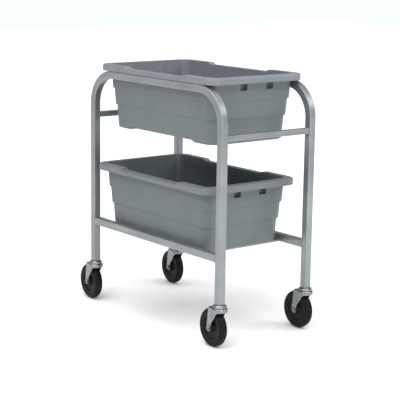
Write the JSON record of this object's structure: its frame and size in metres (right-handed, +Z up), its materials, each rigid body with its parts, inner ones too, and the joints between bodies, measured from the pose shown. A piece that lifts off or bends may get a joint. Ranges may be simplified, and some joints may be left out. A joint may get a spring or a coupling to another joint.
{
  "type": "food service trolley",
  "caption": "Open rack of bent square tube on swivel casters, holding a moulded tub by its lip at the top and a second tub on slats below.",
  "frame": {"origin": "middle of the footprint, at floor level", "axes": "+Z up, X along the tubs' long sides, Y across them, casters trailing towards -X"},
  "size_m": [0.8412, 0.4235, 0.8618],
  "materials": {
    "tube": "satin extruded aluminium tube",
    "weld": "bright as-welded bead",
    "tub": "moulded grey polyethylene",
    "zinc": "bright zinc plate",
    "steel": "plain steel",
    "plug": "black nylon",
    "core": "black moulded wheel",
    "tyre": "hard black rubber"
  },
  "bodies": {
    "rack": {"front_side_frame": "tube", "back_side_frame": "tube", "front_lower_rail": "tube", "back_lower_rail": "tube", "left_crossbar": "tube", "right_crossbar": "tube", "left_tub_slat": "tube", "right_tub_slat": "tube", "rail_welds": "weld", "crossbar_welds": "weld", "slat_welds": "weld", "front_left_leg_plug": "plug", "front_left_kingpin": "steel", "front_left_top_race": "zinc", "front_left_bearing_balls": "steel", "front_left_thrust_washer": "zinc", "front_right_leg_plug": "plug", "front_right_kingpin": "steel", "front_right_top_race": "zinc", "front_right_bearing_balls": "steel", "front_right_thrust_washer": "zinc", "back_right_leg_plug": "plug", "back_right_kingpin": "steel", "back_right_top_race": "zinc", "back_right_bearing_balls": "steel", "back_right_thrust_washer": "zinc", "back_left_leg_plug": "plug", "back_left_kingpin": "steel", "back_left_top_race": "zinc", "back_left_bearing_balls": "steel", "back_left_thrust_washer": "zinc"},
    "upper_tub": {"upper_tub": "tub"},
    "lower_tub": {"lower_tub": "tub"},
    "front_left_swivel": {"front_left_fork": "zinc", "front_left_axle_bolt": "zinc", "front_left_axle_nut": "zinc", "front_left_axle_sleeve": "steel"},
    "front_left_wheel": {"front_left_wheel_core": "core", "front_left_tyre": "tyre"},
    "front_right_swivel": {"front_right_fork": "zinc", "front_right_axle_bolt": "zinc", "front_right_axle_nut": "zinc", "front_right_axle_sleeve": "steel"},
    "front_right_wheel": {"front_right_wheel_core": "core", "front_right_tyre": "tyre"},
    "back_right_swivel": {"back_right_fork": "zinc", "back_right_axle_bolt": "zinc", "back_right_axle_nut": "zinc", "back_right_axle_sleeve": "steel"},
    "back_right_wheel": {"back_right_wheel_core": "core", "back_right_tyre": "tyre"},
    "back_left_swivel": {"back_left_fork": "zinc", "back_left_axle_bolt": "zinc", "back_left_axle_nut": "zinc", "back_left_axle_sleeve": "steel"},
    "back_left_wheel": {"back_left_wheel_core": "core", "back_left_tyre": "tyre"}
  },
  "joints": [
    {"name": "upper_tub_lift", "type": "slide", "parent": "rack", "child": "upper_tub", "axis": [0, 0, 1], "range_m": [0, 0.23]},
    {"name": "lower_tub_lift", "type": "slide", "parent": "rack", "child": "lower_tub", "axis": [0, 0, 1], "range_m": [0, 0.12]},
    {"name": "front_left_swivel", "type": "hinge", "parent": "rack", "child": "front_left_swivel", "pos_m": [-0.3245, -0.185, 0.13], "axis": [0, 0, 1], "continuous": true},
    {"name": "front_left_wheel_spin", "type": "hinge", "parent": "front_left_swivel", "child": "front_left_wheel", "pos_m": [-0.35692, -0.18273, 0.0635], "axis": [0.0698, 0.9976, 0], "continuous": true},
    {"name": "front_right_swivel", "type": "hinge", "parent": "rack", "child": "front_right_swivel", "pos_m": [0.3895, -0.185, 0.13], "axis": [0, 0, 1], "continuous": true},
    {"name": "front_right_wheel_spin", "type": "hinge", "parent": "front_right_swivel", "child": "front_right_wheel", "pos_m": [0.35706, -0.18302, 0.0635], "axis": [0.061, 0.9981, 0], "continuous": true},
    {"name": "back_right_swivel", "type": "hinge", "parent": "rack", "child": "back_right_swivel", "pos_m": [0.3895, 0.185, 0.13], "axis": [0, 0, 1], "continuous": true},
    {"name": "back_right_wheel_spin", "type": "hinge", "parent": "back_right_swivel", "child": "back_right_wheel", "pos_m": [0.35701, 0.18585, 0.0635], "axis": [0.0262, 0.9997, 0], "continuous": true},
    {"name": "back_left_swivel", "type": "hinge", "parent": "rack", "child": "back_left_swivel", "pos_m": [-0.3245, 0.185, 0.13], "axis": [0, 0, 1], "continuous": true},
    {"name": "back_left_wheel_spin", "type": "hinge", "parent": "back_left_swivel", "child": "back_left_wheel", "pos_m": [-0.35688, 0.18783, 0.0635], "axis": [0.0872, 0.9962, 0], "continuous": true}
  ]
}
